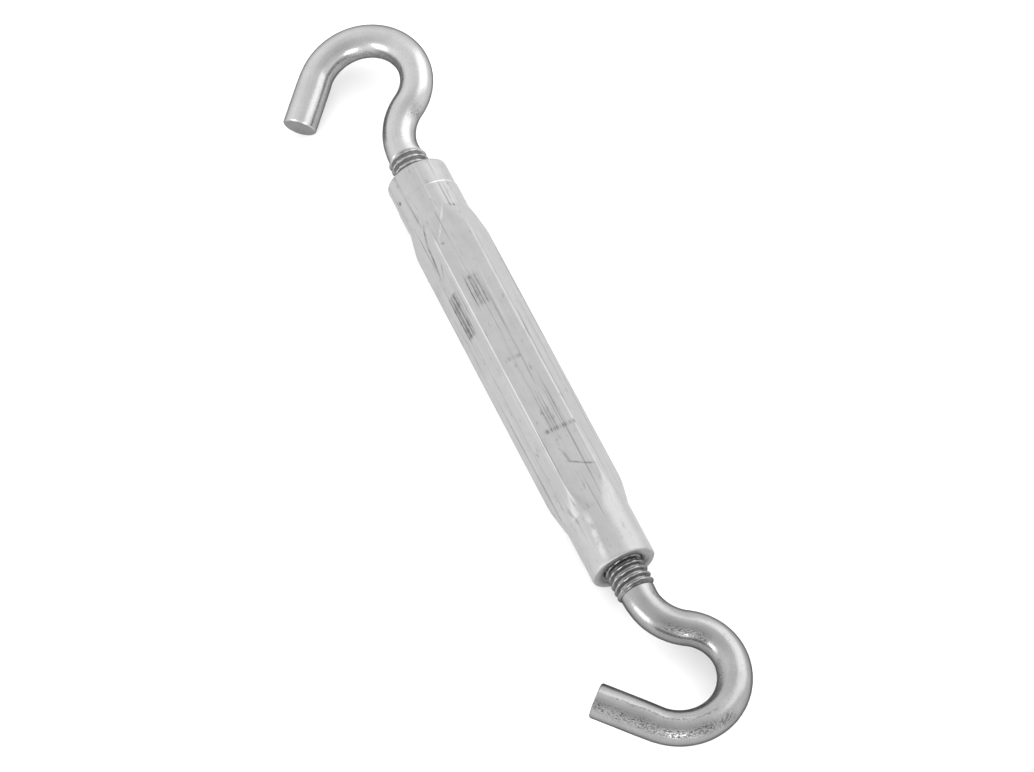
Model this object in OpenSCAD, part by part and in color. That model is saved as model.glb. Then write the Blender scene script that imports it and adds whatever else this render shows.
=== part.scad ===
// Hook-and-hook rigging turnbuckle, 3/8 inch thread, closed hexagonal barrel.
// Units are millimetres. The barrel axis is X, and the origin is the barrel's centre.
// +Z is the outward normal of the barrel's top flat, so the part lies on its bottom flat.
// The hook at +X has a right-hand thread and the hook at -X a left-hand thread.

/* [Barrel] */
// Length of the barrel from rim to rim
barrel_len = 115; // [100:1:140]
// Hexagon size across its flats
hex_flats = 16; // [15.9:0.1:18]
// Diameter of the round boss at each end
boss_d = 15.7; // [15:0.1:15.8]
// Length of each round boss
boss_len = 13.8; // [10:0.1:20]
// Length of the slope between a boss and the hexagon's corners
flare_len = 6.8; // [4:0.1:10]
// Length of the turned band at the -X rim
band_len = 7; // [4:0.5:9]
// How far the turned band sits below the boss surface
band_drop = 0.12; // [0.05:0.01:0.25]
// Bevel on the outer edge of each rim
rim_bevel = 0.5; // [0.2:0.1:1]
// Bevel at the mouth of each threaded bore
mouth_bevel = 0.7; // [0.3:0.1:1.2]
// Threaded length of the bore at each end
bore_thread_len = 21; // [15:1:25]
// Diameter of the hollow between the two threaded lengths
hollow_d = 10.6; // [10:0.1:11.5]

/* [Thread] */
// Outside diameter of the thread, 3/8 inch
thread_d = 9.525; // [9.4:0.005:9.6]
// Thread pitch, 16 turns to the inch
thread_pitch = 1.5875; // [1.5:0.0125:1.6]
// Radial gap between the thread crests and the bore
thread_gap = 0.06; // [0.03:0.01:0.09]
// Number of whole turns on each shank
shank_turns = 31; // [26:1:32]
// Length of thread that stands out of the -X rim
left_thread_out = 6.4; // [4:0.1:7.2]
// Length of thread that stands out of the +X rim
right_thread_out = 7.1; // [4:0.1:7.9]

/* [Hooks] */
// Diameter of the plain rod of each hook
rod_d = 8.4; // [8:0.1:8.6]
// Distance from the -X rim to the start of its hook's neck bend
left_neck_out = 7.4; // [7.4:0.1:9]
// Distance from the +X rim to the start of its hook's neck bend
right_neck_out = 8.1; // [8.1:0.1:9]
// Centreline radius of the neck bend
neck_radius = 13; // [11:0.5:15]
// Angle of the neck bend
neck_angle = 60; // [55:1:62]
// Centreline radius of the first part of the hook's bow
crown_radius = 11.5; // [11:0.5:13]
// Angle of the first part of the bow
crown_angle = 70; // [65:1:75]
// Centreline radius of the rest of the bow
bowl_radius = 13.25; // [12.5:0.25:14]
// Angle of the rest of the bow
bowl_angle = 127; // [120:1:130]
// Straight length of the tip of the -X hook
left_tip_len = 13; // [10:0.5:16]
// Straight length of the tip of the +X hook
right_tip_len = 14.5; // [10:0.5:16]
// Bevel on the sawn edge of each tip
tip_bevel = 0.3; // [0.2:0.1:0.6]
// Height of the slight swell where two bends of the rod meet
swell_height = 0.02; // [0.02:0.01:0.05]
// How far the -X hook is turned down out of the level plane
left_hook_tilt = 11; // [0:1:11]
// How far the +X hook is turned up out of the level plane
right_hook_tilt = 8; // [0:1:16]

/* [Hidden] */
$fn = 96;

rim_x = barrel_len / 2;
corner_r = hex_flats / sqrt(3);
boss_r = boss_d / 2;
bore_r = thread_d / 2 + thread_gap;
crest_r = thread_d / 2;
thread_depth = 0.61343 * thread_pitch;
root_r = crest_r - thread_depth;
crest_flat = thread_pitch / 8;
root_flat = thread_pitch / 4;
slope_run = (thread_pitch - crest_flat - root_flat) / 2;
shank_len = shank_turns * thread_pitch;
// Half the length of the swell between two bends
swell_half = 0.4;
// A cut runs this far past the face that it opens
past = 1;

// Turns a shape drawn up the Z axis so that it runs along +X.
module along_x() {
    rotate([0, 90, 0]) children();
}

// Places a shape drawn for the +X end at both ends of the barrel.
module both_ends() {
    for (flip = [0, 180]) rotate([0, 0, flip]) children();
}

// The turned outline of one end of the barrel: rim, boss, slope and a plain run outside the corners.
module barrel_outline() {
    slope_end = rim_x - boss_len;
    slope_start = slope_end - flare_len;
    polygon([
        [0, -slope_start],
        [0, rim_x],
        [boss_r - rim_bevel, rim_x],
        [boss_r, rim_x - rim_bevel],
        [boss_r, slope_end],
        [corner_r, slope_start],
        [corner_r, -slope_start],
    ]);
}

module turned_blank() {
    both_ends() along_x() rotate_extrude() barrel_outline();
}

// The hexagonal bar, with one flat facing +Z.
module hex_bar() {
    translate([-rim_x - past, 0, 0])
        along_x()
            linear_extrude(barrel_len + 2 * past)
                rotate([0, 0, 30]) circle(r = corner_r, $fn = 6);
}

// The hollow, the threaded bore and the bevelled mouth at the +X end.
module bore_half() {
    hollow_half = rim_x - bore_thread_len;
    along_x() {
        cylinder(r = hollow_d / 2, h = hollow_half);
        cylinder(r = bore_r, h = rim_x + past);
        translate([0, 0, rim_x - mouth_bevel])
            cylinder(r1 = bore_r, r2 = bore_r + mouth_bevel + past, h = mouth_bevel + past);
    }
}

// A thin ring cut that leaves the turned band at the -X rim.
module band_cut() {
    translate([-rim_x - past, 0, 0])
        along_x()
            difference() {
                cylinder(r = boss_r + past, h = band_len + past);
                translate([0, 0, -past])
                    cylinder(r = boss_r - band_drop, h = band_len + 3 * past);
            }
}

// The closed barrel: a hexagonal bar with turned bosses, bored from end to end.
module barrel() {
    color([0.80, 0.80, 0.81])
        difference() {
            intersection() {
                hex_bar();
                turned_blank();
            }
            both_ends() bore_half();
            band_cut();
        }
}

// One turn of the thread's outline, as a groove between two half crests.
function turn_outline(z) = [
    [crest_r, z + crest_flat / 2],
    [root_r, z + crest_flat / 2 + slope_run],
    [root_r, z + crest_flat / 2 + slope_run + root_flat],
    [crest_r, z + thread_pitch - crest_flat / 2],
];

// A threaded shank with its outer end at x = 0 and its inner end at x = -shank_len.
module threaded_shank() {
    color([0.55, 0.56, 0.57])
        along_x()
            rotate_extrude()
                polygon(concat(
                    [[0, -shank_len], [root_r, -shank_len]],
                    [for (turn = [1:shank_turns - 1])
                        each turn_outline(-shank_len + turn * thread_pitch)],
                    [[0, 0]]
                ));
}

// The arc of rod of a bend, starting at the origin and heading along +X.
module rod_arc(radius, angle, side) {
    start = side > 0 ? -90 : 90 - angle;
    translate([0, side * radius, 0])
        rotate([0, 0, start])
            rotate_extrude(angle = angle)
                translate([radius, 0]) circle(d = rod_d);
}

// The slight swell of the rod at the origin, where one bend ends and the next begins.
module bend_swell() {
    translate([-swell_half, 0, 0])
        along_x() cylinder(d = rod_d + 2 * swell_height, h = 2 * swell_half);
}

// Moves its children to the end of a bend; side is 1 for left and -1 for right.
module after_bend(radius, angle, side) {
    translate([radius * sin(angle), side * radius * (1 - cos(angle)), 0])
        rotate([0, 0, side * angle]) {
            bend_swell();
            children();
        }
}

// A straight tip of rod with its sawn end bevelled.
module rod_tip(length) {
    along_x() {
        cylinder(d = rod_d, h = length - tip_bevel);
        translate([0, 0, length - tip_bevel])
            cylinder(d1 = rod_d, d2 = rod_d - 2 * tip_bevel, h = tip_bevel);
    }
}

// A hook that starts with plain_len of straight rod at the origin and heads along +X.
// Its neck bends towards +Y, and its bow comes back to open towards -Y.
module rod_hook(plain_len, tip_len) {
    color([0.66, 0.67, 0.68]) {
        along_x() cylinder(d = rod_d, h = plain_len);
        translate([plain_len, 0, 0]) {
            rod_arc(neck_radius, neck_angle, 1);
            after_bend(neck_radius, neck_angle, 1) {
                rod_arc(crown_radius, crown_angle, -1);
                after_bend(crown_radius, crown_angle, -1) {
                    rod_arc(bowl_radius, bowl_angle, -1);
                    after_bend(bowl_radius, bowl_angle, -1) rod_tip(tip_len);
                }
            }
        }
    }
}

module right_shank() {
    translate([rim_x + right_thread_out, 0, 0]) threaded_shank();
}

module left_shank() {
    mirror([1, 0, 0])
        translate([rim_x + left_thread_out, 0, 0]) threaded_shank();
}

module right_hook() {
    translate([rim_x + right_thread_out, 0, 0])
        rotate([-right_hook_tilt, 0, 0])
            rod_hook(right_neck_out - right_thread_out, right_tip_len);
}

module left_hook() {
    mirror([1, 0, 0])
        translate([rim_x + left_thread_out, 0, 0])
            rotate([left_hook_tilt, 0, 0])
                rod_hook(left_neck_out - left_thread_out, left_tip_len);
}

barrel();
left_shank();
left_hook();
right_shank();
right_hook();
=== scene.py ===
"""Looks of the rigging turnbuckle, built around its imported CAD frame."""
import math

import bmesh
import bpy
import numpy as np
from mathutils import Matrix, Vector


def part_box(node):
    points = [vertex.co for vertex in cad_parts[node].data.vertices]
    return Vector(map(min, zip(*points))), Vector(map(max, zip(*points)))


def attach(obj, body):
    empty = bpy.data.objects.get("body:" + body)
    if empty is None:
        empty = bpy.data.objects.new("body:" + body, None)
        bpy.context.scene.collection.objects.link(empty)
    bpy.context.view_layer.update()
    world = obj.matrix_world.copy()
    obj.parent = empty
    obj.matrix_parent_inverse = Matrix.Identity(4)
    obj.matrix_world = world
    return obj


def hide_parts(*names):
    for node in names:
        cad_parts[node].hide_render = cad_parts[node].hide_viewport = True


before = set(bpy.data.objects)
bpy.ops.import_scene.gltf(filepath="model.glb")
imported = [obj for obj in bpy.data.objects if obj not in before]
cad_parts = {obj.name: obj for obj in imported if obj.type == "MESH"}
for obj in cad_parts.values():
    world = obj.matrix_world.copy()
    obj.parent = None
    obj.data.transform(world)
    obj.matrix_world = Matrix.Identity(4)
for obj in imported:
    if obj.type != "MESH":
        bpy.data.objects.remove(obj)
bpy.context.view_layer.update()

# Sizes of the object are in millimetres and are turned into metres when a mesh is made.
MM = 0.001
# Lengths along a piece are stored in its UV map at this many units to a millimetre
UV_PER_MM = 0.01
# Edges sharper than this many degrees stay sharp
SHARP_EDGE = 38

# Barrel
barrel_low, barrel_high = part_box("barrel")
RIM_X = barrel_high.x / MM
APOTHEM = barrel_high.z / MM
BOSS_R = 7.85
BOSS_LEN = 13.8
FLARE_LEN = 6.8
BAND_LEN = 7.0
BAND_DROP = 0.12
RIM_BEVEL = 0.5
MOUTH_BEVEL = 0.7
BORE_R = 4.82
HOLLOW_R = 5.3
BORE_THREAD_LEN = 21.0
# Width over which the slopes blend into the flats
BLEND = 0.35
# Half the number of mesh columns from one corner to the next, and how closely they crowd there
CORNER_STEPS, CORNER_CROWDING = 18, 1.7
# Rounding radii of the hexagon's corners, and which corners have the soft one, by their angle
# round from the top flat's normal
SHARP_CORNER, SOFT_CORNER = 0.25, 0.9
SOFT_CORNERS = (30, 150)
BARREL_GREY = 0.285
# Millimetres round the barrel's skin to one degree, at its mean radius
SKIN_R = 8.2
ARC = math.pi / 180 * SKIN_R
# How far the painted shade round the bore on the end faces reaches out from the axis: full inside,
# gone outside; it stands in for the shank's dark reflection
PAINTED_SHADE_FULL, PAINTED_SHADE_GONE = 5.2, 7.1

# Thread
PITCH = 1.5875
CREST_R = 4.75
THREAD_DEPTH = 0.61343 * PITCH
SHANK_TURNS = 31
STEPS_PER_TURN = 14
RUN_OUT_TURNS = 0.55
# Shares of half a pitch that the crest's flat and the flank take up
CREST_SHARE, FLANK_SHARE = 0.125, 0.625
# How much of the flank's profile is rounded
FLANK_ROUNDING = 0.4
# Taper at the shank's inner end: how far its tip is below the root
LEAD_DROP = 0.3

# Hooks
ROD_R = 4.2
# Bends from the shank outwards: centreline radius, degrees, and side (1 is left, -1 right)
NECK = (13.0, 60.0, 1)
CROWN = (11.5, 70.0, -1)
BOWL = (13.25, 127.0, -1)
TIP_BEVEL = 0.3
ROD_COLUMNS = 96
# Degrees of bend between two stations of the rod's mesh
BEND_STEP = 1.5
# How much a full bend flattens the rod, and the bend radius that counts as full
FLATTENING, FULL_BEND_R = 0.035, 12.0
# Stations over which the flattening grows and fades
FLATTENING_SPREAD = 9
HOOKS = {
    "left": dict(side=-1, thread_out=6.4, neck_out=7.4, tip=13.0, tilt=11.0),
    "right": dict(side=1, thread_out=7.1, neck_out=8.1, tip=14.5, tilt=-8.0),
}
# Greys of the two hooks' zinc, which is one metal: the left is painted lighter and the right
# darker, as painted light for how the light falls on each
HOOK_GREYS_WITH_PAINTED_LIGHT = {"left": 0.335, "right": 0.245}
# Tint of the reflections at the rod's edges
EDGE_TINT = (0.2, 0.2, 0.21, 1.0)
# Depth in metres of the fine relief of the metal
RELIEF = 0.00004


# ---------------------------------------------------------------- meshes


def smoothstep(x):
    x = np.clip(x, 0.0, 1.0)
    return x * x * (3.0 - 2.0 * x)


def soft_min(a, b, width):
    """The smaller of two radii, with the crease between them rounded over width."""
    overlap = np.maximum(width - np.abs(a - b), 0.0) / width
    return np.minimum(a, b) - overlap * overlap * width / 4.0


def tube_mesh(name, rows, lengths, closed):
    """A tube through rings of points, joined end to end or capped at both ends."""
    count, columns = rows.shape[:2]
    verts = [tuple(p) for p in rows.reshape(-1, 3) * MM]
    faces, uvs = [], []
    around = np.linspace(0.0, 1.0, columns + 1)
    for i in range(count if closed else count - 1):
        a, b = i, (i + 1) % count
        for j in range(columns):
            k = (j + 1) % columns
            faces.append((a * columns + j, b * columns + j, b * columns + k, a * columns + k))
            uvs += [(lengths[a], around[j]), (lengths[b], around[j]),
                    (lengths[b], around[j + 1]), (lengths[a], around[j + 1])]
    body_faces = len(faces)
    if not closed:
        for last in (0, count - 1):
            centre = len(verts)
            verts.append(tuple(rows[last].mean(axis=0) * MM))
            for j in range(columns):
                k = (j + 1) % columns
                faces.append((last * columns + j, last * columns + k, centre))
                uvs += [(lengths[last], around[j]), (lengths[last], around[j + 1]),
                        (lengths[last], around[j])]
    mesh = bpy.data.meshes.new(name)
    mesh.from_pydata(verts, [], faces)
    layer = mesh.uv_layers.new(name="around")
    layer.data.foreach_set("uv", np.array(uvs, np.float32).ravel())
    materials = np.zeros(len(faces), np.int32)
    materials[body_faces:] = 1
    mesh.polygons.foreach_set("material_index", materials)
    work = bmesh.new()
    work.from_mesh(mesh)
    bmesh.ops.recalc_face_normals(work, faces=work.faces)
    work.to_mesh(mesh)
    work.free()
    mesh.shade_smooth()
    mesh.set_sharp_from_angle(angle=math.radians(SHARP_EDGE))
    piece = bpy.data.objects.new(name, mesh)
    bpy.context.scene.collection.objects.link(piece)
    return piece


def corner_angles():
    """Angles round the barrel, packed closely at the hexagon's corners."""
    near = 30.0 * (np.arange(CORNER_STEPS) / CORNER_STEPS) ** CORNER_CROWDING
    half = np.concatenate([near, [30.0], (60.0 - near)[::-1]])[:-1]
    return np.concatenate([corner + half for corner in range(30, 390, 60)])


def hexagon_radius(angles):
    """Radius of the hexagon with rounded corners; angle 0 is the top flat's normal."""
    corner = np.round((angles - 30.0) / 60.0) * 60.0 + 30.0
    off = np.abs(np.radians(angles - corner))
    soft = np.isin(np.mod(corner, 360.0), SOFT_CORNERS)
    fillet = np.where(soft, SOFT_CORNER, SHARP_CORNER)
    centre = (APOTHEM - fillet) / math.cos(math.pi / 6)
    tangent = np.arctan2(fillet / 2, centre + fillet * math.cos(math.pi / 6))
    chord = np.maximum(fillet**2 - (centre * np.sin(off)) ** 2, 0.0)
    rounded = centre * np.cos(off) + np.sqrt(chord)
    flat = APOTHEM / np.cos(math.pi / 6 - off)
    return np.where(off < tangent, rounded, flat)


def turned_radius(x):
    """Radius of the lathe-turned outline: boss, slope, and clear of the hexagon."""
    slope = (APOTHEM / math.cos(math.pi / 6) - BOSS_R) / FLARE_LEN
    run = RIM_X - BOSS_LEN - abs(x)
    radius = BOSS_R + max(run, 0.0) * slope
    into_band = RIM_X + x
    if into_band < BAND_LEN:
        radius -= BAND_DROP * min((BAND_LEN - into_band) / BAND_DROP, 1.0)
    return radius


def barrel_stations():
    """Places along the barrel, closer together over the slopes and at the band's edge."""
    flats_end, slopes_end, boss_end = 30.0, 46.0, RIM_X - RIM_BEVEL
    middle = np.linspace(-flats_end, flats_end, 61)
    slope = np.linspace(flats_end + 0.5, slopes_end, 80)
    boss = np.linspace(slopes_end + 0.3, boss_end, 30)
    band_edge = -RIM_X + BAND_LEN + np.array([-0.5, -0.25, -BAND_DROP, 0.0, 0.25])
    return np.unique(np.concatenate([-boss, -slope, middle, slope, boss, band_edge]))


def ring(x, radius, angles):
    """Points at a radius round the axis; angle 0 is +Z, and a quarter turn on is +Y."""
    return np.stack([np.broadcast_to(x, angles.shape), radius * np.sin(angles),
                     radius * np.cos(angles)], axis=-1)


def barrel_shell():
    """The whole barrel as one closed skin: outside, both end faces and the bore."""
    degrees = corner_angles()
    angles = np.radians(degrees)
    hexagon = hexagon_radius(degrees)
    all_round = np.ones_like(angles)
    rows = []
    for x in barrel_stations():
        radius = soft_min(hexagon, all_round * turned_radius(x), BLEND)
        rows.append(ring(x, radius, angles))
    for end in (1, -1):
        skin = np.linalg.norm(rows[-1 if end > 0 else 0][0, 1:])
        bevel = [(RIM_X - RIM_BEVEL * (1 - math.sin(a)), skin - RIM_BEVEL * (1 - math.cos(a)))
                 for a in np.radians([30, 60, 80, 90])]
        face = [(RIM_X, skin - RIM_BEVEL - 0.5), (RIM_X, BORE_R + MOUTH_BEVEL + 0.15)]
        mouth = [(RIM_X - 0.04, BORE_R + MOUTH_BEVEL), (RIM_X - MOUTH_BEVEL, BORE_R + 0.03),
                 (RIM_X - MOUTH_BEVEL - 0.1, BORE_R), (RIM_X - BORE_THREAD_LEN, BORE_R),
                 (RIM_X - BORE_THREAD_LEN, HOLLOW_R)]
        outline = bevel + face + mouth
        for x, radius in outline if end > 0 else outline[::-1]:
            rows.append(ring(end * x, all_round * radius, angles))
    rows = np.array(rows)
    return tube_mesh("barrel_shell", rows, np.arange(len(rows)) * UV_PER_MM, closed=True)


def thread_groove(phase):
    """Depth of the thread, 0 on the crest and 1 in the root, for a phase counted in turns."""
    from_crest = np.abs(np.mod(phase + 0.5, 1.0) - 0.5) * 2.0
    flank = np.clip((from_crest - CREST_SHARE) / FLANK_SHARE, 0.0, 1.0)
    return (1.0 - FLANK_ROUNDING) * flank + FLANK_ROUNDING * smoothstep(flank)


def rod_path(thread_out, neck_out, tip):
    """Stations down the rod: place, heading, how sharply it bends, and distance."""
    thread_end = RIM_X + thread_out
    start = thread_end - SHANK_TURNS * PITCH
    xs = np.arange(SHANK_TURNS * STEPS_PER_TURN + 1) * PITCH / STEPS_PER_TURN + start
    xs = np.concatenate([xs, np.linspace(thread_end, RIM_X + neck_out, 5)[1:]])
    stations = [(x, 0.0, 0.0, 0.0, x) for x in xs]
    x, y, heading, _, distance = stations[-1]
    for radius, angle, side in (NECK, CROWN, BOWL):
        steps = int(angle / BEND_STEP)
        turn = math.radians(angle) / steps * side
        centre = (x - side * radius * math.sin(heading), y + side * radius * math.cos(heading))
        for _ in range(steps):
            heading += turn
            distance += radius * abs(turn)
            x = centre[0] + side * radius * math.sin(heading)
            y = centre[1] - side * radius * math.cos(heading)
            stations.append((x, y, heading, 1.0 / radius, distance))
    for forward in [*np.linspace(0.4, tip - TIP_BEVEL, 24)[1:], tip]:
        stations.append((x + forward * math.cos(heading), y + forward * math.sin(heading),
                         heading, 0.0, distance + forward))
    return np.array(stations)


def rod_radius(x, angles, thread_end):
    """Radius of the thread at x, its run-out into the plain rod, and its groove depth."""
    groove = thread_groove((x - thread_end) / PITCH - angles / math.tau)
    run_out = smoothstep((thread_end - x) / (RUN_OUT_TURNS * PITCH))
    radius = ROD_R + run_out * (CREST_R - THREAD_DEPTH * groove - ROD_R)
    lead = CREST_R - THREAD_DEPTH - LEAD_DROP + (x - thread_end + SHANK_TURNS * PITCH)
    return np.minimum(radius, lead), groove * run_out


def hook_bolt(name, side, thread_out, neck_out, tip, tilt):
    """A hook bolt as one bent rod with a real helical thread on its shank."""
    path = rod_path(thread_out, neck_out, tip)
    thread_end = RIM_X + thread_out
    angles = np.linspace(0.0, math.tau, ROD_COLUMNS, endpoint=False)
    spread = np.ones(FLATTENING_SPREAD) / FLATTENING_SPREAD
    bending = np.convolve(path[:, 3], spread, mode="same") * FULL_BEND_R
    rows, grooves = [], []
    for index, (x, y, heading, _, _) in enumerate(path):
        radius, groove = rod_radius(x, angles, thread_end)
        if index == 0 or x > thread_end or y != 0.0:
            groove = groove * 0.0
            radius = np.full_like(angles, radius.min() if index == 0 else ROD_R)
        if index == len(path) - 1:
            radius = radius - TIP_BEVEL
        inward = radius * np.cos(angles) * (1.0 - FLATTENING * bending[index])
        upward = radius * np.sin(angles)
        rows.append(np.stack([x - inward * math.sin(heading),
                              y + inward * math.cos(heading), upward], axis=-1))
        grooves.append(groove)
    rows = np.array(rows)
    slant = math.radians(tilt)
    y, z = rows[..., 1].copy(), rows[..., 2].copy()
    rows[..., 0] *= side
    rows[..., 1] = y * math.cos(slant) - z * math.sin(slant)
    rows[..., 2] = y * math.sin(slant) + z * math.cos(slant)
    piece = tube_mesh(name, rows, path[:, 4] * UV_PER_MM, closed=False)
    depth = piece.data.attributes.new("groove", "FLOAT", "POINT")
    cap_centres = [0.0, 0.0]
    values = np.append(np.array(grooves).ravel(), cap_centres)
    depth.data.foreach_set("value", values.astype(np.float32))
    return piece


# ---------------------------------------------------------------- materials


class Surface:
    """A material whose nodes are added one call at a time."""

    def __init__(self, name):
        self.material = bpy.data.materials.new(name)
        self.material.use_nodes = True
        self.tree = self.material.node_tree
        self.shader = self.tree.nodes["Principled BSDF"]
        self.object = self.node("ShaderNodeTexCoord").outputs["Object"]

    def node(self, kind, **settings):
        made = self.tree.nodes.new(kind)
        for key, value in settings.items():
            setattr(made, key, value)
        return made

    def put(self, value, socket):
        if isinstance(value, bpy.types.NodeSocket):
            self.tree.links.new(value, socket)
        else:
            socket.default_value = value

    def math(self, operation, *values):
        made = self.node("ShaderNodeMath", operation=operation)
        for value, socket in zip(values, made.inputs):
            self.put(value, socket)
        return made.outputs[0]

    def fade(self, value, low, high, to_low=0.0, to_high=1.0):
        """Goes smoothly from to_low to to_high as value goes from low to high."""
        made = self.node("ShaderNodeMapRange", interpolation_type="SMOOTHSTEP")
        for number, socket in zip((value, low, high, to_low, to_high), made.inputs):
            self.put(number, socket)
        return made.outputs[0]

    def stretched(self, vector, scale):
        made = self.node("ShaderNodeVectorMath", operation="MULTIPLY")
        self.put(vector, made.inputs[0])
        self.put(scale, made.inputs[1])
        return made.outputs[0]

    def noise(self, vector, scale, detail=3.0, roughness=0.55):
        made = self.node("ShaderNodeTexNoise")
        self.put(vector, made.inputs["Vector"])
        made.inputs["Scale"].default_value = scale
        made.inputs["Detail"].default_value = detail
        made.inputs["Roughness"].default_value = roughness
        return made.outputs["Fac"]

    def within(self, value, centre, half, soft):
        """1 where value is within half of centre, fading to 0 over soft."""
        off = self.math("ABSOLUTE", self.math("SUBTRACT", value, centre))
        return self.fade(off, half + soft, max(half - soft, 0.0))

    def span(self, value, low, high, soft):
        """1 where value is from low to high, fading to 0 over soft."""
        return self.within(value, (low + high) / 2, (high - low) / 2, soft)

    def line_mark(self, x, arc, start, end, half):
        """1 on the straight line from start to end, both (x, arc) in mm, within half its width."""
        dx, dy = end[0] - start[0], end[1] - start[1]
        length = math.hypot(dx, dy)
        dx, dy = dx / length, dy / length
        rx, ry = self.math("SUBTRACT", x, start[0]), self.math("SUBTRACT", arc, start[1])
        along = self.add(self.times(rx, dx), self.times(ry, dy))
        across = self.add(self.times(rx, -dy), self.times(ry, dx))
        return self.times(self.within(along, length / 2, length / 2, min(length / 4, 2.0)),
                          self.within(across, 0.0, half, half * 0.8))

    def grouped(self, *values):
        """A vector of three values."""
        made = self.node("ShaderNodeCombineXYZ")
        for value, socket in zip(values, made.inputs):
            self.put(value, socket)
        return made.outputs[0]

    def add(self, first, *rest):
        for value in rest:
            first = self.math("ADD", first, value)
        return first

    def times(self, first, *rest):
        for value in rest:
            first = self.math("MULTIPLY", first, value)
        return first

    def grey(self, value):
        """Sets the base colour to a neutral grey of this value."""
        made = self.node("ShaderNodeCombineColor")
        for socket in made.inputs:
            self.put(value, socket)
        self.put(made.outputs[0], self.shader.inputs["Base Color"])

    def bump(self, height):
        made = self.node("ShaderNodeBump")
        made.inputs["Distance"].default_value = RELIEF
        self.put(height, made.inputs["Height"])
        self.put(made.outputs[0], self.shader.inputs["Normal"])


# Marks on the barrel. Places along it are in mm, and angles are in degrees round from the top
# flat's normal towards +Y. The last number of each is how dark it is.


def side_by_side(low, high, first_angle, step, count, depth):
    """Lines of one length that lie next to each other round the barrel."""
    return [(low, high, first_angle + step * index, depth) for index in range(count)]


# Prints of the drawing die: from and to along the barrel, from and to round it
DIE_PRINTS = [
    (-22, -10, -70, -44, 0.9),
    (-23, -15, -20, 4, 0.5),
    (16, 22, -12, 6, 0.3),
]
# Lines dragged lengthwise: from and to along the barrel, angle. The one at 33 degrees is painted
# shade along the soft corner, not a dragged line.
DRAG_LINES_AND_CORNER_SHADE = [
    *side_by_side(-23, -15, 0, -6, 4, 0.65),
    *side_by_side(12, 22, 2, -5, 3, 0.5),
    *side_by_side(-38, 42, 57, 9, 2, 0.35),
    (-15, -5, -6, 0.45),
    (-5, 12, -8, 0.3),
    # Painted shade along the soft corner at 30 degrees
    (-34, 6, 33, 0.45),
    (36, 48, 2, 0.5),
    (-51, -44, 28, 0.6),
    (-41, -28, -60, 0.8),
    (-28, 40, -59, 0.35),
    (-30, 30, 124, 0.35),
    (-25, 35, -121, 0.35),
    (-38, 20, 176, 0.3),
]
# Rows of short dashes round the barrel: place, from and to round it
CROSS_DASHES = [
    (1, -18, 4, 0.5),
    (22, -20, 34, 0.65),
    (-23, -18, 4, 0.5),
]
# Pits: place, angle, radius in mm
PITS = [
    (-51, -66, 0.7, 0.85),
    (-43, 28, 0.4, 0.7),
    (-34, -22, 0.5, 0.4),
    (12, 150, 0.5, 0.6),
]
# Straight scratches: place and angle at each end, half their width in mm; a bright one is
# negative. The first is a painted highlight along the band's edge, not a scratch.
SCRATCHES_AND_BAND_HIGHLIGHT = [
    # Painted highlight along the edge of the band at the -X end
    (-50.5, -2, -50.5, 74, 0.15, -0.9),
    (-43, 5, -35, -26, 0.2, -0.3),
    (-41, -38, -36, -52, 0.3, 0.7),
    (-37, -50, -29, -58, 0.3, 0.7),
    (-30, -42, -27, -52, 0.2, 0.6),
    (-10, 37, -3, 32, 0.3, 0.4),
    (28, -9, 31, -6, 0.3, 0.4),
    (31, -7, 34, 28, 0.2, 0.6),
    (41, -50, 45, -44, 0.4, 0.4),
    (45, -24, 56, -30, 0.7, -0.3),
]


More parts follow.
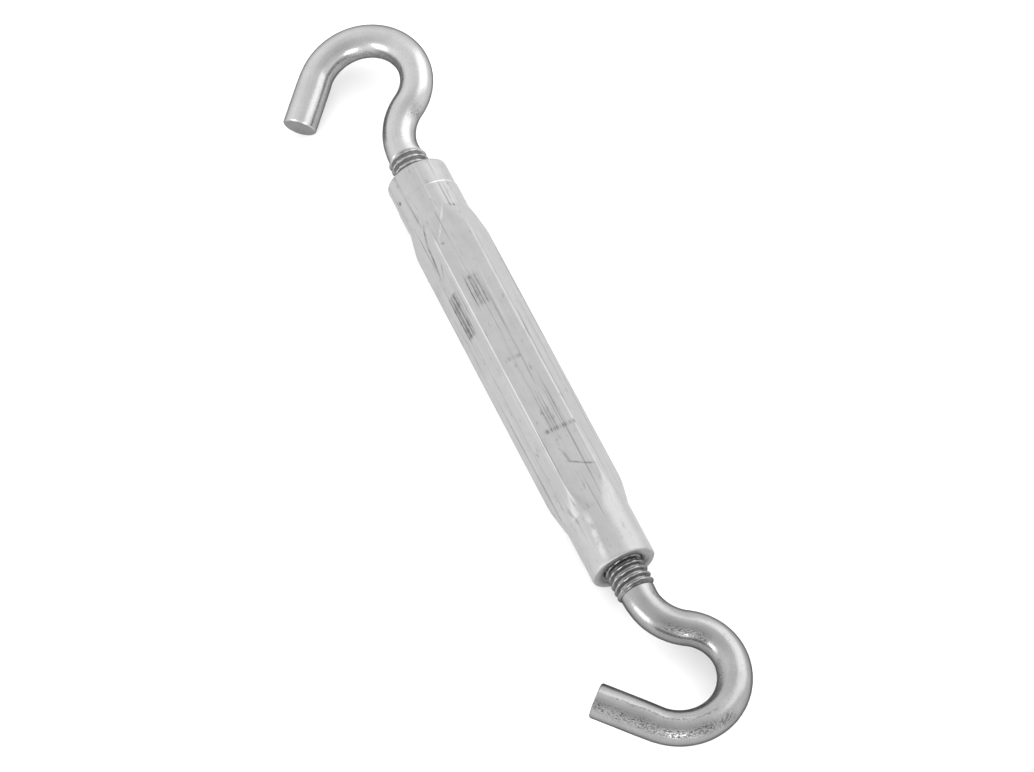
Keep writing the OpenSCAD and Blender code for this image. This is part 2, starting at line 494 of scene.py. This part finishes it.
def barrel_surface():
    """Satin drawn aluminium with lengthwise scratches, die prints and handling marks, with painted
    shade on the end faces and along one corner, and painted highlights along another corner and
    the band's edge.
    """
    s = Surface("barrel_aluminium")
    split = s.node("ShaderNodeSeparateXYZ")
    s.put(s.object, split.inputs[0])
    x = s.times(split.outputs[0], 1.0 / MM)
    angle = s.times(s.math("ARCTAN2", split.outputs[1], split.outputs[2]), 180.0 / math.pi)
    wander = s.times(s.math("SUBTRACT", s.noise(s.object, 120.0), 0.5), 6.0)
    loose_angle = s.add(angle, wander)

    hairlines = s.noise(s.stretched(s.object, (30.0, 1700.0, 1700.0)), 1.0, 4.0, 0.6)
    streaks = s.noise(s.stretched(s.object, (40.0, 500.0, 500.0)), 1.0, 3.0)
    clouds = s.noise(s.object, 110.0, 4.0)
    smudges = s.noise(s.object, 340.0, 5.0, 0.65)
    grain = s.noise(s.object, 2600.0, 2.0)
    dark_hairs = s.noise(s.stretched(s.object, (22.0, 1150.0, 1150.0)), 1.0, 2.0)
    dark_hairs = s.fade(dark_hairs, 0.61, 0.70)
    bright_hairs = s.noise(s.stretched(s.object, (34.0, 1500.0, 1500.0)), 1.0, 2.0)
    bright_hairs = s.fade(bright_hairs, 0.61, 0.72)
    dirt = s.noise(s.stretched(s.object, (300.0, 900.0, 900.0)), 1.0, 5.0, 0.7)
    dirt = s.fade(dirt, 0.58, 0.76)

    dark, bright = [], []
    striations = s.noise(s.stretched(s.object, (25.0, 2600.0, 2600.0)), 1.0, 2.0)
    striations = s.fade(striations, 0.46, 0.58)
    speckle = s.fade(smudges, 0.46, 0.56)
    for low, high, turn_low, turn_high, depth in DIE_PRINTS:
        inside = s.times(s.span(x, low, high, 0.6), s.span(loose_angle, turn_low, turn_high, 2.0))
        texture = s.add(s.times(striations, 0.6), s.times(speckle, 0.3), 0.1)
        dark.append(s.times(inside, texture, depth))
    for low, high, turn, depth in DRAG_LINES_AND_CORNER_SHADE:
        line = s.times(s.span(x, low, high, 3.0), s.within(loose_angle, turn, 0.7, 0.7))
        dark.append(s.times(line, s.fade(clouds, 0.35, 0.6, 0.3, 1.0), depth))
    for place, turn_low, turn_high, depth in CROSS_DASHES:
        dash = s.times(s.within(x, place, 0.5, 0.4), s.span(angle, turn_low, turn_high, 2.0))
        dark.append(s.times(dash, s.add(s.times(striations, 0.8), 0.2), depth))
    for place, turn, size, depth in PITS:
        across = s.times(s.math("SUBTRACT", angle, turn), math.pi / 180 * BOSS_R)
        along = s.math("SUBTRACT", x, place)
        distance = s.math("SQRT", s.add(s.times(across, across), s.times(along, along)))
        dark.append(s.times(s.fade(distance, size, size * 0.4), depth))
    for x0, turn0, x1, turn1, half, depth in SCRATCHES_AND_BAND_HIGHLIGHT:
        line_mark = s.line_mark(x, s.times(angle, ARC), (x0, turn0 * ARC), (x1, turn1 * ARC), half)
        line_mark = s.times(line_mark, s.fade(smudges, 0.40, 0.54, 0.3, 1.0), abs(depth))
        (dark if depth > 0 else bright).append(line_mark)
    marked = s.math("MINIMUM", s.add(*dark), 1.0)

    # The corner 30 degrees from the top flat's normal towards -Y is painted bright: a painted
    # highlight along the edge, partly rubbed wear.
    off_corner = s.math("ABSOLUTE", s.add(angle, 30.0))
    on_hexagon = s.within(x, 2.0, RIM_X - BOSS_LEN - FLARE_LEN + 2.0, 2.0)
    uneven = s.fade(clouds, 0.3, 0.5, 0.5, 1.0)
    worn_and_highlight = s.times(s.fade(off_corner, 1.1, 0.3), on_hexagon, uneven, 0.55)

    # The end faces have fine turning rings, and patchy painted shade round the bore that stands in
    # for the dark reflection of the shank.
    out = s.math("SQRT", s.add(s.times(split.outputs[1], split.outputs[1]),
                               s.times(split.outputs[2], split.outputs[2])))
    on_face = s.fade(s.math("ABSOLUTE", x), RIM_X - 0.12, RIM_X - 0.04)
    rings = s.noise(s.stretched(s.grouped(out, 0.0, 0.0), (9000.0, 0.0, 0.0)), 1.0, 2.0)
    shade_patches = s.fade(s.noise(s.object, 150.0, 2.0), 0.38, 0.55)
    # Painted shade: darker round the bore, for the shank's dark reflection in the end faces.
    painted_shade = s.times(s.fade(out, PAINTED_SHADE_GONE * MM, PAINTED_SHADE_FULL * MM), shade_patches)
    face_rings_and_shade = s.times(on_face, s.add(s.times(painted_shade, 0.6), s.times(rings, 0.25)))

    shade = s.add(BARREL_GREY - 0.10, s.times(clouds, 0.05), s.times(streaks, 0.05),
                  s.times(hairlines, 0.05), s.times(smudges, 0.06), s.times(bright_hairs, 0.03),
                  s.times(worn_and_highlight, 0.35), s.times(s.add(*bright), 0.35))
    shade = s.math("SUBTRACT", shade, s.add(s.times(dirt, 0.12), s.times(dark_hairs, 0.10)))
    clean = s.times(s.math("SUBTRACT", 1.0, s.times(marked, 0.75)),
                    s.math("SUBTRACT", 1.0, face_rings_and_shade))
    s.grey(s.times(shade, clean))
    s.put(s.add(0.30, s.times(clouds, 0.12), s.times(hairlines, 0.14), s.times(marked, 0.2),
                s.times(dirt, 0.1)), s.shader.inputs["Roughness"])
    s.shader.inputs["Metallic"].default_value = 0.7
    relief = s.add(s.times(hairlines, 0.7), s.times(streaks, 0.6), s.times(grain, 0.25),
                   s.times(clouds, 1.2), s.times(smudges, 0.5), s.times(marked, -1.5))
    s.bump(relief)
    return s.material


# Scuffs on the hooks: distance from and to along the rod's centreline in mm, angle round the rod
# in degrees from its left side over the top, half their width in degrees, and how dark.
HOOK_SCUFFS = {
    "right": [(74, 86, 131, 15, 0.75), (106, 138, 46, 17, 0.8), (108, 134, 93, 4, 0.5),
              (92, 106, 150, 12, 0.45), (66, 72, 55, 8, 0.5)],
    "left": [(75, 79, 28, 22, 0.6), (88, 114, 168, 8, 0.5), (66, 74, 150, 10, 0.3)],
}


def hook_surface(end):
    """Bright zinc plate on bent steel rod, with painted shade down in the thread, and painted
    light in each hook's grey.
    """
    s = Surface(f"{end}_hook_zinc")
    split = s.node("ShaderNodeSeparateXYZ")
    s.put(s.node("ShaderNodeUVMap", uv_map="around").outputs[0], split.inputs[0])
    distance = s.times(split.outputs[0], 1.0 / UV_PER_MM)
    angle = s.times(split.outputs[1], 360.0)
    turn = s.times(split.outputs[1], math.tau)
    along = s.grouped(split.outputs[0], s.times(s.math("COSINE", turn), ROD_R * UV_PER_MM),
                      s.times(s.math("SINE", turn), ROD_R * UV_PER_MM))
    groove = s.node("ShaderNodeAttribute", attribute_name="groove").outputs["Fac"]

    clouds = s.noise(along, 14.0, 3.0)
    streaks = s.noise(s.stretched(along, (7.0, 110.0, 110.0)), 1.0, 3.0)
    specks = s.fade(s.noise(along, 230.0, 4.0, 0.7), 0.56, 0.68)
    crumbs = s.fade(s.noise(s.stretched(along, (200.0, 360.0, 360.0)), 1.0, 4.0, 0.75), 0.44, 0.60)
    grain = s.noise(along, 420.0, 3.0)
    wander = s.times(s.math("SUBTRACT", s.noise(along, 22.0), 0.5), 30.0)
    scuffs = [s.times(s.span(distance, low, high, 1.5),
                      s.within(s.add(angle, wander), place, half, half * 0.6), crumbs, depth)
              for low, high, place, half, depth in HOOK_SCUFFS[end]]
    scuffed = s.add(*scuffs)

    # Each hook's base grey holds painted light: lighter on the left hook, darker on the right.
    shade = s.add(HOOK_GREYS_WITH_PAINTED_LIGHT[end] - 0.09, s.times(clouds, 0.10), s.times(streaks, 0.08))
    # Painted shade: the groove depth darkens the thread towards its roots.
    darker = s.add(s.times(specks, 0.16), scuffed, s.times(groove, 0.08))
    s.grey(s.times(shade, s.math("SUBTRACT", 1.0, s.math("MINIMUM", darker, 0.85))))
    s.put(s.add(0.17, s.times(clouds, 0.14), s.times(specks, 0.16), s.times(scuffed, 0.4),
                s.times(groove, 0.15)), s.shader.inputs["Roughness"])
    s.shader.inputs["Metallic"].default_value = 1.0
    s.shader.inputs["Specular Tint"].default_value = EDGE_TINT
    s.bump(s.add(s.times(grain, 0.4), s.times(clouds, 1.8), s.times(streaks, 0.6),
                 s.times(scuffed, -0.5)))
    return s.material


def cut_surface():
    """A sawn rod end: dull grey with fine parallel saw lines."""
    s = Surface("hook_cut_face")
    lines = s.noise(s.stretched(s.object, (300.0, 300.0, 4200.0)), 1.0, 3.0)
    blotches = s.noise(s.object, 900.0, 4.0, 0.7)
    s.grey(s.add(0.03, s.times(lines, 0.08), s.times(blotches, 0.16)))
    s.put(s.add(0.45, s.times(blotches, 0.15)), s.shader.inputs["Roughness"])
    s.shader.inputs["Metallic"].default_value = 0.7
    s.bump(s.add(lines, s.times(blotches, 0.5)))
    return s.material


def floor_surface():
    """A seamless white sweep with the faintest unevenness."""
    s = Surface("studio_floor")
    s.grey(s.add(0.93, s.times(s.noise(s.object, 3.0), 0.03)))
    s.shader.inputs["Roughness"].default_value = 0.85
    s.shader.inputs["Specular IOR Level"].default_value = 0.1
    return s.material


# ---------------------------------------------------------------- studio

# The camera looks along a fixed line at the barrel, with its long axis running down to the right.
CAMERA_AZIMUTH = 70.9
CAMERA_ELEVATION = 62.9
CAMERA_ROLL = -6.7
CAMERA_DISTANCE = 0.934
CAMERA_LENS = 138.8
# Where it aims, in mm: along the barrel, then to the left and down in the view
CAMERA_AIM = (2.3, 1.15, 2.4)
NEAREST, FURTHEST = 0.01, 20.0

# The tent is brightest towards the horizon, and greys towards this fixed direction overhead
TENT_AZIMUTH = 70.9
TENT_ELEVATION = 62.9
TENT_STRENGTH = 2.1
# Grey levels, from square to that direction up to the direction itself
TENT_LEVELS = [(0.0, 0.90), (0.3, 0.92), (0.6, 0.84), (0.85, 0.66), (1.0, 0.52)]

# Soft boxes: azimuth, elevation, distance and width in metres, and power in watts
SOFT_BOXES = {
    "front_softbox": (8, 15, 0.9, 0.36, 2.2),
    "end_softbox": (74, 13, 0.9, 0.36, 2.6),
    "side_softbox": (190, 32, 1.5, 1.5, 9.5),
}
FLOOR_HALF = 1.5


def direction(azimuth, elevation):
    """Unit vector from the object; azimuth 0 is -Y and 90 is +X."""
    a, e = math.radians(azimuth), math.radians(elevation)
    return Vector((math.sin(a) * math.cos(e), -math.cos(a) * math.cos(e), math.sin(e)))


def make_camera():
    data = bpy.data.cameras.new("camera")
    data.lens = CAMERA_LENS
    data.clip_start, data.clip_end = NEAREST, FURTHEST
    camera = bpy.data.objects.new("camera", data)
    bpy.context.scene.collection.objects.link(camera)
    back = direction(CAMERA_AZIMUTH, CAMERA_ELEVATION)
    right = Vector((0, 0, 1)).cross(back).normalized()
    turn = Matrix.Rotation(math.radians(CAMERA_ROLL), 3, back)
    right = turn @ right
    up = back.cross(right)
    along, left, down = CAMERA_AIM
    aim = Vector((along * MM, 0, 0)) - right * left * MM - up * down * MM
    place = Matrix((right, up, back)).transposed().to_4x4()
    place.translation = aim + back * CAMERA_DISTANCE
    camera.matrix_world = place
    bpy.context.scene.camera = camera


def area_light(name, azimuth, elevation, distance, size, power):
    data = bpy.data.lights.new(name, "AREA")
    data.size, data.energy = size, power
    light = bpy.data.objects.new(name, data)
    towards = direction(azimuth, elevation)
    light.location = towards * distance
    light.rotation_euler = towards.to_track_quat("Z", "Y").to_euler()
    bpy.context.scene.collection.objects.link(light)


def make_world():
    """A white tent, bright all round and grey overhead."""
    world = bpy.data.worlds.new("tent")
    bpy.context.scene.world = world
    world.use_nodes = True
    tree = world.node_tree
    coordinates = tree.nodes.new("ShaderNodeTexCoord")
    overhead = tree.nodes.new("ShaderNodeVectorMath")
    overhead.operation = "DOT_PRODUCT"
    overhead.inputs[1].default_value = direction(TENT_AZIMUTH, TENT_ELEVATION)
    ramp = tree.nodes.new("ShaderNodeValToRGB")
    stops = ramp.color_ramp.elements
    for position, _ in TENT_LEVELS[1:-1]:
        stops.new(position)
    for stop, (_, level) in zip(stops, TENT_LEVELS):
        stop.color = (level, level, level, 1)
    tree.links.new(coordinates.outputs["Generated"], overhead.inputs[0])
    tree.links.new(overhead.outputs["Value"], ramp.inputs[0])
    tree.links.new(ramp.outputs[0], tree.nodes["Background"].inputs["Color"])
    tree.nodes["Background"].inputs["Strength"].default_value = TENT_STRENGTH


def make_floor(material):
    level = barrel_low.z
    corners = [(x * FLOOR_HALF, y * FLOOR_HALF, level)
               for x, y in ((-1, -1), (1, -1), (1, 1), (-1, 1))]
    mesh = bpy.data.meshes.new("floor")
    mesh.from_pydata(corners, [], [(0, 1, 2, 3)])
    mesh.materials.append(material)
    floor = bpy.data.objects.new("floor", mesh)
    bpy.context.scene.collection.objects.link(floor)


# ---------------------------------------------------------------- assembly

shell = barrel_shell()
shell.data.materials.append(barrel_surface())
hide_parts("barrel")
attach(shell, "barrel")

cut = cut_surface()
for end, sizes in HOOKS.items():
    bolt = hook_bolt(f"{end}_hook_bolt", **sizes)
    bolt.data.materials.append(hook_surface(end))
    bolt.data.materials.append(cut)
    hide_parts(f"{end}_shank", f"{end}_hook")
    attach(bolt, f"{end}_hook")

make_camera()
make_world()
make_floor(floor_surface())
for name, placing in SOFT_BOXES.items():
    area_light(name, *placing)
bpy.context.scene.view_settings.view_transform = "Standard"
